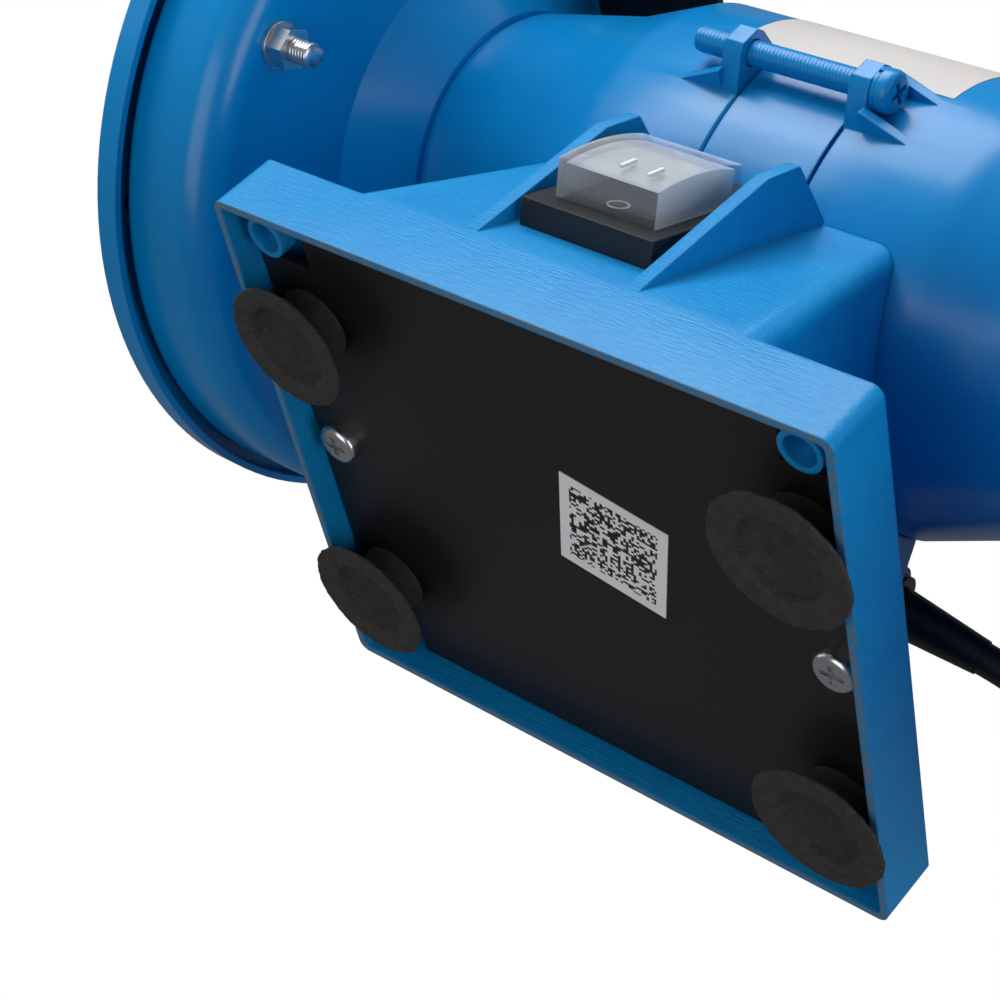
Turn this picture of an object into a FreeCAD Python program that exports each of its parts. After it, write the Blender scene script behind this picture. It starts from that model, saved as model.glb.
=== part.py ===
"""A 150 mm double-ended bench grinder on a cast base with four rubber suction feet.

Millimetres.  X runs along the spindle, Y towards the back, Z up.  The origin is on the
bench, under the middle of the whole tool without its lead.
"""
import os
from math import atan2, cos, degrees, hypot, pi, radians, sin, tan

import FreeCAD
import Part

V = FreeCAD.Vector
NODES = {}

# ---- general fits ----------------------------------------------------------------
free_gap = 0.3          # between faces of pieces that move past each other
running_gap = 0.05      # radial clearance of a shaft or pin that turns in a hole
seat_gap = 0.3          # between the motor and the saddle it lies in
slip_gap = 0.1          # round a piece pushed into its pocket
hole_gap = 0.4          # radial clearance of a screw in a plain hole

# ---- base ------------------------------------------------------------------------
base_y = 14.1           # middle of the base behind the middle of the whole tool
base_w = 137.0
base_d = 123.5
base_h = 14.2           # height of the tray's rim
rim_wall = 1.6
deck = 2.5
corner_r = 2.4
corner_in_r = 1.2
foot_gap = 3.0          # the feet hold the rim this far off the bench
ped_half_w = 45.7       # pedestal where it meets the deck
ped_lean = 0.20         # how far the sides lean in, per mm of height
ped_front_lean = 0.43
ped_rear_lean = 0.516
ped_rise = 68.0
ped_wall = 3.0
ped_edge_r = 4.0
saddle_wall = 3.0

boss_in_x = 8.7
boss_in_y = 8.05
boss_x = base_w / 2 - boss_in_x           # bench-bolt bosses
boss_y = base_d / 2 - boss_in_y
boss_r = 4.4
boss_bore_r = 3.25
boss_recess = 2.7       # boss ends above the rim's lower edge

plate_recess = 5.7      # bottom plate above the rim's lower edge
plate_t = 1.5
plate_gap = 0.6
plate_notch = 13.0      # corner notches that clear the bosses
plate_screw_x = base_w / 2 - boss_in_x
plate_post_r = 4.0
plate_screw_r = 1.9
plate_head_r = 4.6

foot_in_x = 11.8
foot_x = base_w / 2 - foot_in_x
foot_front = 32.2
foot_rear = 38.0
foot_r = 14.2
foot_recess_r = 9.0
foot_neck_r = 7.8
foot_nib_r = 3.0

sticker_t = 0.15
base_sticker = 24.5
base_sticker_x = 11.1
base_sticker_y = -5.6
base_sticker_turn = 10.8

# ---- spindle and motor -----------------------------------------------------------
spindle_z = 97.2
spindle_y = base_y - 2.5
motor_r = 45.5
band_half = 11.75
seam_gap = 0.5
band_wall = 2.0
bell_shoulder = 38.5    # end of the bell's straight part
bell_waist = 57.0       # end of its steep taper
bell_waist_r = 38.4
bell_end = 87.0
bell_end_r = 31.5
bell_wall = 3.4
bell_end_wall = 4.0
core_half = 17.0
stator_depth = 19.9
stator_bore_r = motor_r - stator_depth
slot_count = 24
slot_lip = 1.6
slot_in_r = stator_bore_r + slot_lip
core_rim = 9.5
slot_out_r = motor_r - core_rim
slot_w = 3.2
winding_reach = 10.0
rotor_half = 17.0
rotor_ring_t = 5.0

shaft_r = 8.0
journal_r = 7.5
stub_r = 6.35
thread_r = 5.95
bearing_in = 70.0       # inner face of each bearing
bearing_w = 11.0
bearing_r = 17.5
race_t = 2.9
ball_count = 9
washer_t = 0.8
lip_r = 13.0            # hole in the wall outside the bearing
shaft_hole_r = 9.5
pocket_gap = 3.5
pocket_r = bearing_r + pocket_gap
pocket_in = 66.0

clamp_off = 4.5
clamp_reach = motor_r + clamp_off      # clamp screws from the spindle's axis
clamp_turns = (-3.0, 183.0)   # degrees above the front
clamp_r = 2.5
clamp_tail = 24.7
lug_t = 4.2
lug_rise = 8.5
lug_top = motor_r + lug_rise
lug_half_tip = 3.9
lug_half_foot = 8.0
lug_sink = 2.5
lug_root = motor_r - lug_sink
wing_len = 9.5
wing_t = 2.0
wing_drop = 0.5         # top of the fins below the screw's axis
clamp_head_r = 4.3
clamp_head_h = 3.0
spring_t = 1.0

rating_x = 2.1
rating_w = 48.8
rating_from = 7.5       # degrees above the front
rating_to = 75.0

# ---- wheels ----------------------------------------------------------------------
wheel_r = 75.0
wheel_t = 16.0
wheel_in = 104.0
blotter_t = 0.6
flange_r = 25.0
flange_seat = 98.5      # shoulder of the shaft
flange_out_t = 4.4
nut_af = 19.0
nut_h = 8.0
shaft_end = 135.4

# ---- guards ----------------------------------------------------------------------
sheet = 1.6
guard_face = 97.4
guard_r = 85.5
guard_corner_r = 8.0
guard_end = 119.5
hub_r = 33.0
hub_foot_r = 46.0
guard_screw_pcr = 25.0
guard_screw_r = 2.5
guard_screw_count = 3
mouth_from = -8.0       # degrees above the front, where the guard is open
mouth_to = 62.0
mouth_in_r = 60.0
cover_r = 89.8
cover_lip = 118.8
cover_out = 125.0
dome_foot_r = 38.0
dome_r = 31.0
dome_out = 139.0
ear_angles = (100.0, 190.0, 290.0)
ear_pcr = 81.0
ear_half = 4.0
ear_len = 4.5
cover_screw_r = 2.0

# ---- tool rests ------------------------------------------------------------------
rest_t = 3.0
rest_gap = 2.0          # between the rest and the wheel
rest_depth = 36.0
rest_x0 = 88.0
rest_x1 = 132.0
rest_web_t = 2.0
rest_web_h = 8.0
rest_bolt_y = -56.2     # from the spindle's axis
rest_bolt_z = -47.3
rest_bolt_r = 2.5
rest_in = 1.0           # travel towards the wheel
rest_out = 2.0          # and away from it
rest_washer_r = 4.9
rest_nut_af = 8.0
rest_bolt_tail = 87.4
rest_clear = 1.2        # how far the leg may run on into the guard's rounded shoulder

# ---- spark deflectors ------------------------------------------------------------
deflector_t = 1.8
deflector_x0 = 100.0
deflector_x1 = 122.4
deflector_in_r = 79.0
deflector_out_r = 97.0
tab_t = 2.0
tab_x0 = 103.5
tab_x1 = 118.5
tab_out_r = 99.0
deflector_in = 2.5
deflector_out = 3.0
deflector_screw_r = 2.0

# ---- eye shields -----------------------------------------------------------------
bracket_t = 2.0
bracket_x = 61.5        # inner end of the bracket's shelf
bracket_z = 46.8        # shelf above the spindle's axis
bracket_y0 = -54.0
bracket_y1 = -6.0
bracket_drop = 11.5
bracket_flange_y1 = -31.0
pivot_y = -45.0
pivot_z = 58.0
arm_t = 3.0
arm_half_w = 6.0
bar_y = -103.0
bar_z = 80.0
bar_r = 3.0
bar_end = 130.0
shield_x0 = 68.0
shield_x1 = 128.0
shield_drop = 50.0
shield_t = 3.0
knob_r = 8.0

# ---- switch ----------------------------------------------------------------------
bezel_w = 29.2
bezel_l = 38.8
bezel_t = 5.3
switch_up = 30.3        # middle of the switch, up the slope from the deck
switch_body_w = 25.0
switch_body_l = 32.0
switch_body_h = 17.0
rocker_r = 10.9
rocker_at = -2.1        # rocker and cap sit below the middle of the bezel
rocker_w = 18.0
rocker_tilt = 8.0
cap_w = 22.3
cap_l = 24.4
cap_h = 8.4
cap_wall = 0.9
cap_crown = 1.3
rib_x0 = 16.6
rib_x1 = 19.4

# ---- mains lead ------------------------------------------------------------------
lead_d = 6.8
lead_r = lead_d / 2
gland_x = 34.0          # seat of the gland, on an angled boss high on the rear wall
gland_y = base_y + 43.9
gland_z = 58.0
gland_turn = 10.0       # degrees from the right towards the back
gland_boss_l = 14.0
gland_stem = 8.0
gland_boss_r = 8.5
gland_hole_r = 5.4
gland_flange_r = 7.2
gland_flange_t = 2.0
relief = 20.0
relief_r = 4.5
coil_x = 80.0
coil_y = 198.0
coil_r = 39.5           # middle of the turns
coil_wide = 3
coil_high = 2
coil_turns = 5.25
plug_w = 46.0
plug_l = 50.0
plug_h = 21.0
lead_length = 1500.0


# ---- helpers ---------------------------------------------------------------------
def rod(radius, x0, x1, y=0.0, z=0.0):
    """A round bar along X."""
    return Part.makeCylinder(radius, x1 - x0, V(x0, y, z), V(1, 0, 0))


def post(radius, z0, z1, x=0.0, y=0.0):
    """A round bar along Z."""
    return Part.makeCylinder(radius, z1 - z0, V(x, y, z0), V(0, 0, 1))


def block(x0, x1, y0, y1, z0, z1):
    return Part.makeBox(x1 - x0, y1 - y0, z1 - z0, V(x0, y0, z0))


def prism_x(points, x0, x1):
    """A flat outline of (y, z) points, drawn out along X."""
    corners = [V(x0, y, z) for y, z in points]
    face = Part.Face(Part.makePolygon(corners + corners[:1]))
    return face.extrude(V(x1 - x0, 0, 0))


def turned(points):
    """A ring turned about the X axis from an outline of (x, radius) points."""
    corners = [V(x, 0, r) for x, r in points]
    face = Part.Face(Part.makePolygon(corners + corners[:1]))
    return face.revolve(V(0, 0, 0), V(1, 0, 0), 360)


def hexagon(across, x0, x1, y=0.0, z=0.0):
    half = across / 2 / cos(radians(30))
    points = [(y + half * cos(radians(60 * i)), z + half * sin(radians(60 * i))) for i in range(6)]
    return prism_x(points, x0, x1)


def fused(first, *others):
    shape = first
    for other in others:
        shape = shape.fuse(other)
    return shape.removeSplitter()


def swing(shape, angle):
    """Turn a piece made at the front of a wheel up round the spindle's axis."""
    copy = shape.copy()
    copy.rotate(V(0, 0, 0), V(1, 0, 0), -angle)
    return copy


def to_spindle(shape):
    return shape.translated(V(0, spindle_y, spindle_z))


def mirrored(shape):
    return shape.mirror(V(0, 0, 0), V(1, 0, 0))


def keep(name, *shapes):
    NODES[name] = list(shapes)


def keep_pair(name, shape):
    """The same piece on the right and on the left, as two nodes."""
    placed = to_spindle(shape)
    keep("right_" + name, placed)
    keep("left_" + name, mirrored(placed))


def keep_both(name, *shapes):
    """The same pieces on the right and on the left, in one node."""
    placed = [to_spindle(shape) for shape in shapes]
    keep(name, *placed, *[mirrored(shape) for shape in placed])


def slope(shape):
    """From the switch's own frame (z outward) to the pedestal's front wall."""
    angle = degrees(atan2(1, ped_front_lean))
    copy = shape.copy()
    copy.rotate(V(0, 0, 0), V(1, 0, 0), angle)
    foot = V(0, base_y - base_d / 2, foot_gap + base_h)
    up = V(0, cos(radians(angle)), sin(radians(angle)))
    return copy.translated(foot + up * switch_up)


# ---- base casting ----------------------------------------------------------------
rim_z = foot_gap
deck_z = foot_gap + base_h


def tray_block(inset, z0, z1, radius):
    half_w = base_w / 2 - inset
    half_d = base_d / 2 - inset
    solid = block(-half_w, half_w, base_y - half_d, base_y + half_d, z0, z1)
    upright = [e for e in solid.Edges if abs(e.Vertexes[0].Z - e.Vertexes[1].Z) > (z1 - z0) / 2]
    return solid.makeFillet(radius, upright)


def pedestal(inset, z_low, edge_r):
    """The leaning block between the deck and the motor, drawn in by inset."""
    def ring(z):
        rise = z - deck_z
        half_w = ped_half_w - ped_lean * rise - inset
        front = base_y - base_d / 2 + ped_front_lean * rise + inset
        rear = base_y + base_d / 2 - ped_rear_lean * rise - inset
        corners = [V(-half_w, front, z), V(half_w, front, z), V(half_w, rear, z), V(-half_w, rear, z)]
        return Part.makePolygon(corners + corners[:1])
    solid = Part.makeLoft([ring(z_low), ring(deck_z + ped_rise)], True, True)
    if edge_r:
        upright = [e for e in solid.Edges if abs(e.Vertexes[0].Z - e.Vertexes[1].Z) > ped_rise / 2]
        solid = solid.makeFillet(edge_r, upright)
    return solid


def switch_rib():
    """A fin beside the switch, from low on the slope up to the motor."""
    front = base_y - base_d / 2
    points = [(0.6, 1.2), (2.6, 38.5), (6.0, 47.6), (21.6, 52.6), (26.0, 50.0), (6.5, 1.2)]
    outline = [(front + y, deck_z + z) for y, z in points]
    return prism_x(outline, rib_x0, rib_x1)


def make_base():
    outer = tray_block(0, rim_z, deck_z, corner_r)
    hollow = tray_block(rim_wall, rim_z - 1, deck_z - deck, corner_in_r)
    body = outer.cut(hollow)
    body = body.fuse(pedestal(0, deck_z, ped_edge_r))
    rib = switch_rib()
    body = body.fuse(rib).fuse(mirrored(rib))
    body = body.fuse(on_gland(rod(gland_boss_r, -gland_boss_l, 0)))
    inner = pedestal(ped_wall, deck_z - deck - 1, 0)
    saddle = to_spindle(rod(motor_r + seat_gap + saddle_wall, -base_w, base_w))
    body = body.cut(inner.cut(saddle))
    motor_way = to_spindle(rod(motor_r + seat_gap, -base_w, base_w))
    body = body.cut(motor_way)
    wire_way = post(7.0, deck_z, spindle_z, 0, spindle_y)
    body = body.cut(wire_way)
    window = block(-switch_body_w / 2 - slip_gap, switch_body_w / 2 + slip_gap,
                   -switch_body_l / 2 - slip_gap, switch_body_l / 2 + slip_gap, -8, 4)
    body = body.cut(slope(window))
    body = body.cut(on_gland(rod(gland_hole_r, -gland_stem - 1, 1)))
    body = body.cut(on_gland(rod(gland_flange_r + 0.5, 0, 30)))
    # from the gland's hole the wires turn into the hollow of the pedestal
    turn_x = gland_x - gland_stem * 0.7 * cos(radians(gland_turn))
    turn_y = gland_y - gland_stem * 0.7 * sin(radians(gland_turn))
    wire_hole = Part.makeCylinder(3.0, 9.0, V(turn_x, turn_y, gland_z - 2.0), V(0, -1, 0))
    body = body.cut(wire_hole)
    for x, y in boss_places():
        body = body.fuse(post(boss_r, rim_z + boss_recess, deck_z - deck / 2, x, y))
    for side in (-1, 1):
        x = side * plate_screw_x
        body = body.fuse(post(plate_post_r, plate_top(), deck_z - deck / 2, x, base_y))
    for x, y in boss_places():
        body = body.cut(post(boss_bore_r, rim_z - 1, deck_z + 1, x, y))
    for side in (-1, 1):
        x = side * plate_screw_x
        body = body.cut(post(plate_screw_r + slip_gap, plate_top() - 1, deck_z - deck, x, base_y))
    for x, y in base_screw_places():
        body = body.cut(post(3.0, deck_z, spindle_z, x, y))
    return body.removeSplitter()


def on_gland(shape):
    """From the gland's own frame (x outward, its seat at 0) to the rear wall."""
    copy = shape.copy()
    copy.rotate(V(0, 0, 0), V(0, 0, 1), gland_turn)
    return copy.translated(V(gland_x, gland_y, gland_z))


def boss_places():
    return [(sx * boss_x, base_y + sy * boss_y) for sx in (-1, 1) for sy in (-1, 1)]


def foot_places():
    return [(sx * foot_x, base_y + y) for sx in (-1, 1) for y in (-foot_front, foot_rear)]


def base_screw_places():
    """Screws up through the saddle into the two end bells."""
    return [(sx * 21.0, spindle_y + sy * 14.0) for sx in (-1, 1) for sy in (-1, 1)]


def plate_top():
    return rim_z + plate_recess + plate_t


def make_bottom_plate():
    z0 = rim_z + plate_recess
    half_w = base_w / 2 - rim_wall - plate_gap
    half_d = base_d / 2 - rim_wall - plate_gap
    plate = block(-half_w, half_w, base_y - half_d, base_y + half_d, z0, z0 + plate_t)
    for sx in (-1, 1):
        for sy in (-1, 1):
            x = sx * (half_w - plate_notch / 2)
            y = base_y + sy * (half_d - plate_notch / 2)
            reach = plate_notch / 2 + 0.01
            plate = plate.cut(block(x - reach, x + reach, y - reach, y + reach, z0 - 1, z0 + plate_t + 1))
    for side in (-1, 1):
        plate = plate.cut(post(plate_screw_r + hole_gap, z0 - 1, z0 + plate_t + 1,
                               side * plate_screw_x, base_y))
    for x, y in foot_places():
        plate = plate.cut(post(foot_nib_r + slip_gap, z0 - 1, z0 + plate_t + 1, x, y))
    return plate


def pan_screw(head_r, head_h, shank_r, shank_l, recess=0.9):
    """A pan-head cross-recess screw; head outward along +Z, its seat at z = 0."""
    head = Part.makeCylinder(head_r, head_h)
    head = head.makeFillet(head_h * 0.55, [e for e in head.Edges if e.Vertexes[0].Z > head_h / 2])
    arm = head_r * 0.55
    half = head_r * 0.13
    cross = block(-arm, arm, -half, half, head_h - recess, head_h + 1)
    cross = cross.fuse(block(-half, half, -arm, arm, head_h - recess, head_h + 1))
    shank = post(shank_r, -shank_l, 0.2)
    return head.cut(cross).fuse(shank).removeSplitter()


def facing(shape, direction):
    """Turn a piece made along +Z so that it points along direction."""
    copy = shape.copy()
    copy.Placement = FreeCAD.Placement(V(0, 0, 0), FreeCAD.Rotation(V(0, 0, 1), direction))
    return copy


def make_foot(x, y):
    """A rubber suction cup with a flat lip, pushed through the bottom plate by its nib."""
    plate_z = rim_z + plate_recess
    outline = [(foot_recess_r, 0.3), (foot_r - 1.6, 0.0), (foot_r, 0.0), (foot_r, 1.1),
               (foot_recess_r + 0.6, 2.6), (foot_neck_r + 0.3, 4.2), (foot_neck_r, 6.2), (foot_neck_r, plate_z),
               (foot_nib_r, plate_z), (foot_nib_r, plate_top()), (foot_nib_r + 1.4, plate_top()),
               (foot_nib_r - 0.6, plate_top() + 2.4), (0, plate_top() + 2.4), (0, 3.2),
               (foot_recess_r * 0.9, 2.4)]
    corners = [V(r, 0, z) for r, z in outline]
    face = Part.Face(Part.makePolygon(corners + corners[:1]))
    return face.revolve(V(0, 0, 0), V(0, 0, 1), 360).translated(V(x, y, 0))


def make_base_sticker():
    z1 = rim_z + plate_recess
    half = base_sticker / 2
    sheet_of = block(-half, half, -half, half, z1 - sticker_t, z1)
    sheet_of.rotate(V(0, 0, 0), V(0, 0, 1), base_sticker_turn)
    return sheet_of.translated(V(base_sticker_x, base_y + base_sticker_y, 0))


keep("base_casting", make_base())
keep("bottom_plate", make_bottom_plate())
plate_screw = facing(pan_screw(plate_head_r, 2.4, plate_screw_r, 5.0), V(0, 0, -1))
keep("bottom_plate_screws", *[plate_screw.translated(V(side * plate_screw_x, base_y, rim_z + plate_recess))
                              for side in (-1, 1)])
keep("suction_feet", *[make_foot(x, y) for x, y in foot_places()])
keep("base_sticker", make_base_sticker())


# ---- motor -----------------------------------------------------------------------
bell_face = band_half + seam_gap
core_r = motor_r - band_wall - slip_gap


def make_bell():
    """Right end bell: rim, taper, neck and the pocket of its bearing."""
    outer = [(bell_face, motor_r - 0.5), (bell_face + 0.5, motor_r), (bell_shoulder, motor_r),
             (bell_waist, bell_waist_r), (bell_end - 3, bell_end_r + 1.6), (bell_end, bell_end_r)]
    bearing_out = bearing_in + bearing_w
    inner = [(bell_end, shaft_hole_r), (bearing_out + washer_t, shaft_hole_r),
             (bearing_out + washer_t, bearing_r + 0.02), (pocket_in, bearing_r + 0.02),
             (pocket_in, pocket_r), (bell_end - bell_end_wall, pocket_r),
             (bell_end - bell_end_wall, bell_end_r - bell_wall),
             (bell_waist - 1.5, bell_waist_r - bell_wall),
             (bell_shoulder - 1.5, motor_r - bell_wall), (core_half + slip_gap, motor_r - bell_wall),
             (core_half + slip_gap, core_r + slip_gap), (bell_face, core_r + slip_gap)]
    bell = turned(outer + inner)
    for turn in clamp_turns:
        bell = bell.fuse(swing(make_lug(), turn))
    # the bore stays open through the roots of the lugs
    bell = bell.cut(rod(core_r + slip_gap, bell_face - 1, core_half + slip_gap))
    for turn in clamp_turns:
        bell = bell.cut(swing(rod(clamp_r + hole_gap / 2, bell_face - 1, bell_face + 30, -clamp_reach), turn))
    for i in range(guard_screw_count):
        hole = rod(guard_screw_r + slip_gap, bell_end - bell_end_wall - 1, bell_end + 1, -guard_screw_pcr)
        bell = bell.cut(swing(hole, 90 + 360 / guard_screw_count * i))
    bell = to_spindle(bell)
    for x, y in base_screw_places():
        if x > 0:
            bell = bell.cut(post(2.6, spindle_z - motor_r - 5, spindle_z - motor_r + 10, x, y))
    return bell.removeSplitter()


def make_lug():
    """One clamp lug with the two fins that run back from it along the bell."""
    lug = prism_x([(-lug_root, -lug_half_foot), (-lug_top + 1.5, -lug_half_tip), (-lug_top, -lug_half_tip + 1.5),
                   (-lug_top, lug_half_tip - 1.5), (-lug_top + 1.5, lug_half_tip), (-lug_root, lug_half_foot)],
                  bell_face, bell_face + lug_t)
    shape = lug
    for side in (-1, 1):
        x0 = bell_face + lug_t - 0.5
        x1 = bell_face + lug_t + wing_len
        z = side * (lug_half_foot - 1.0)
        corners = [V(x0, -lug_root, z), V(x0, -clamp_reach + wing_drop, z),
                   V(x1, -motor_r + 0.6, z), V(x1, -lug_root, z)]
        fin = Part.Face(Part.makePolygon(corners + corners[:1]))
        shape = shape.fuse(fin.extrude(V(0, 0, -side * wing_t)))
    return shape


def make_stator():
    core = rod(core_r, -core_half, core_half).cut(rod(stator_bore_r, -core_half - 1, core_half + 1))
    slot = block(-core_half - 1, core_half + 1, -slot_out_r, -slot_in_r, -slot_w / 2, slot_w / 2)
    mouth = block(-core_half - 1, core_half + 1, -slot_in_r - 0.5, -stator_bore_r + 1, -0.9, 0.9)
    for i in range(slot_count):
        core = core.cut(swing(slot, 360 / slot_count * i)).cut(swing(mouth, 360 / slot_count * i))
    return core


def make_windings():
    ring = turned([(core_half + 0.6, slot_in_r), (core_half + winding_reach, slot_in_r + 0.8),
                   (core_half + winding_reach, slot_out_r - 2.5), (core_half + 2.0, slot_out_r)])
    coil = ring.fuse(mirrored(ring))
    reach = core_half + 1.2
    bar = block(-reach, reach, -slot_out_r + slip_gap, -slot_in_r - slip_gap,
                -slot_w / 2 + slip_gap, slot_w / 2 - slip_gap)
    for i in range(slot_count):
        coil = coil.fuse(swing(bar, 360 / slot_count * i))
    return coil


def make_rating_label():
    """A foil label wrapped round the top of the motor."""
    band = rod(motor_r + sticker_t, rating_x - rating_w / 2, rating_x + rating_w / 2)
    band = band.cut(rod(motor_r, -base_w, base_w))
    reach = motor_r * 3
    middle = (rating_from + rating_to) / 2
    half = (rating_to - rating_from) / 2
    edge = reach * tan(radians(half))
    wedge = prism_x([(0, 0), (-reach, -edge), (-reach, edge)], -base_w, base_w)
    return band.common(swing(wedge, middle))


bell = make_bell()
keep("right_end_bell", bell)
keep("left_end_bell", mirrored(bell))
keep("motor_band", to_spindle(rod(motor_r, -band_half, band_half).cut(rod(core_r + slip_gap, -50, 50))))
keep("stator_core", to_spindle(make_stator()))
keep("stator_windings", to_spindle(make_windings()))
keep("rating_label", to_spindle(make_rating_label()))

clamp_seat = bell_face + lug_t
clamp_screw = facing(pan_screw(clamp_head_r, clamp_head_h, clamp_r, clamp_seat + spring_t + clamp_tail, 1.4), V(1, 0, 0))
clamp_screw = clamp_screw.translated(V(clamp_seat + spring_t, -clamp_reach, 0))
clamp_washer = rod(clamp_head_r, clamp_seat, clamp_seat + spring_t, -clamp_reach)
clamp_washer = clamp_washer.cut(rod(clamp_r + slip_gap, 0, 50, -clamp_reach))
clamp_washer = clamp_washer.cut(block(0, 50, -clamp_reach - 9, -clamp_reach, -0.4, 0.4))
keep("clamp_screws", *[to_spindle(swing(clamp_screw, turn)) for turn in clamp_turns])
keep("clamp_washers", *[to_spindle(swing(clamp_washer, turn)) for turn in clamp_turns])

saddle_screw = facing(pan_screw(4.6, 3.2, 2.5, 11.0), V(0, 0, -1))


def saddle_seat(y):
    """Lowest height of the saddle's underside beside a screw at y."""
    reach = motor_r + seat_gap + saddle_wall
    return spindle_z - (reach ** 2 - (abs(y - spindle_y) - 4.6) ** 2) ** 0.5


keep("motor_base_screws", *[saddle_screw.translated(V(x, y, saddle_seat(y))) for x, y in base_screw_places()])


# ---- rotor, bearings and wheels --------------------------------------------------
inner_race_r = journal_r + race_t
outer_race_r = bearing_r - race_t


def make_shaft():
    half = turned([(0, 0), (0, shaft_r), (bearing_in, shaft_r), (bearing_in, journal_r),
                   (flange_seat, journal_r), (flange_seat, stub_r), (nut_seat - 1.5, stub_r),
                   (nut_seat - 1.5, thread_r), (shaft_end - 1, thread_r), (shaft_end, thread_r - 1),
                   (shaft_end, 0)])
    return half.fuse(mirrored(half)).removeSplitter()


def make_rotor():
    core = turned([(0, shaft_r), (0, stator_bore_r - free_gap), (rotor_half, stator_bore_r - free_gap),
                   (rotor_half, 23.5), (rotor_half + rotor_ring_t, 22.5), (rotor_half + rotor_ring_t, 15.0),
                   (rotor_half, 14.0), (rotor_half, shaft_r)])
    return core.fuse(mirrored(core)).removeSplitter()


def make_balls():
    """Balls of one bearing, held in their cage."""
    middle = bearing_in + bearing_w / 2
    pitch = (inner_race_r + outer_race_r) / 2
    ball_r = (outer_race_r - inner_race_r) / 2 - free_gap
    ring = turned([(middle - 1.2, pitch - 0.6), (middle + 1.2, pitch - 0.6),
                   (middle + 1.2, pitch + 0.6), (middle - 1.2, pitch + 0.6)])
    for i in range(ball_count):
        angle = 2 * pi / ball_count * i
        ring = ring.fuse(Part.makeSphere(ball_r, V(middle, pitch * cos(angle), pitch * sin(angle))))
    return ring


nut_seat = wheel_in + wheel_t + blotter_t + flange_out_t


def ring_x(r_in, r_out, x0, x1):
    return rod(r_out, x0, x1).cut(rod(r_in, x0 - 1, x1 + 1))


def make_wheel():
    chamfer = 0.8
    bore = stub_r + slip_gap
    return turned([(wheel_in, bore), (wheel_in, wheel_r - chamfer), (wheel_in + chamfer, wheel_r),
                   (wheel_in + wheel_t - chamfer, wheel_r), (wheel_in + wheel_t, wheel_r - chamfer),
                   (wheel_in + wheel_t, bore)])


def make_inner_flange():
    face = wheel_in - blotter_t
    bore = stub_r + running_gap
    return turned([(flange_seat, bore), (flange_seat, 13.0), (face - 2.0, flange_r - 1), (face - 1.2, flange_r),
                   (face, flange_r), (face, flange_r - 6), (face - 1.0, flange_r - 7), (face - 1.0, bore)])


def make_outer_flange():
    face = wheel_in + wheel_t + blotter_t
    bore = stub_r + running_gap
    return turned([(face, flange_r), (face + 1.4, flange_r), (face + 2.4, flange_r - 1),
                   (nut_seat, 13.0), (nut_seat, bore), (face + 1.0, bore), (face + 1.0, flange_r - 7),
                   (face, flange_r - 6)])


def make_nut():
    nut = hexagon(nut_af, nut_seat, nut_seat + nut_h)
    cone = turned([(nut_seat, 0), (nut_seat, nut_af / 2 + 0.2), (nut_seat + 1.2, nut_af / 2 + 2),
                   (nut_seat + nut_h - 1.2, nut_af / 2 + 2), (nut_seat + nut_h, nut_af / 2 + 0.2),
                   (nut_seat + nut_h, 0)])
    return nut.common(cone).cut(rod(thread_r + running_gap, nut_seat - 1, nut_seat + nut_h + 1))


keep("spindle_shaft", to_spindle(make_shaft()))
keep("rotor_core", to_spindle(make_rotor()))
keep_both("bearing_outer_rings", ring_x(outer_race_r, bearing_r, bearing_in, bearing_in + bearing_w))
keep_both("bearing_inner_rings", ring_x(journal_r, inner_race_r, bearing_in, bearing_in + bearing_w))
keep_both("bearing_balls", make_balls())
keep("bearing_wave_washer", to_spindle(ring_x(15.0, bearing_r - 0.2, bearing_in + bearing_w,
                                              bearing_in + bearing_w + washer_t)))
keep_pair("grinding_wheel", make_wheel())
keep_both("inner_flanges", make_inner_flange())
keep_both("outer_flanges", make_outer_flange())
blotter = ring_x(stub_r + 1, flange_r + 1, wheel_in - blotter_t, wheel_in)
keep_both("wheel_blotters", blotter, blotter.translated(V(wheel_t + blotter_t, 0, 0)))
keep_both("spindle_nuts", make_nut())


# ---- guards ----------------------------------------------------------------------
def mouth_wedge(extra=0.0):
    """The open sector at the front of a guard, beyond mouth_in_r."""
    reach = cover_r * 3
    middle = (mouth_from + mouth_to) / 2
    half = (mouth_to - mouth_from) / 2 + extra
    edge = reach * tan(radians(half))
    wedge = prism_x([(0, 0), (-reach, -edge), (-reach, edge)], guard_face - 5, dome_out + 5)
    wedge = wedge.cut(rod(mouth_in_r, guard_face - 20, dome_out + 20))
    return swing(wedge, middle)


def guard_shell(inset):
    """The guard's outline turned solid; inset by the sheet it is the space inside."""
    r = guard_r - inset
    x = guard_face + inset
    corner = guard_corner_r - inset
    hub_x = bell_end + inset
    end = guard_end + (1 if inset else 0)
    hub = hub_r - inset * 0.4
    foot = hub_foot_r - inset * 0.4
    edges = [Part.makeLine(V(hub_x, 0, 0), V(hub_x, 0, hub)),
             Part.makeLine(V(hub_x, 0, hub), V(x, 0, foot)),
             Part.makeLine(V(x, 0, foot), V(x, 0, r - corner)),
             Part.Arc(V(x, 0, r - corner),
                      V(x + corner * (1 - cos(pi / 4)), 0, r - corner * (1 - sin(pi / 4))),
                      V(x + corner, 0, r)).toShape(),
             Part.makeLine(V(x + corner, 0, r), V(end, 0, r)),
             Part.makeLine(V(end, 0, r), V(end, 0, 0)),
             Part.makeLine(V(end, 0, 0), V(hub_x, 0, 0))]
    return Part.Face(Part.Wire(edges)).revolve(V(0, 0, 0), V(1, 0, 0), 360)


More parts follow.
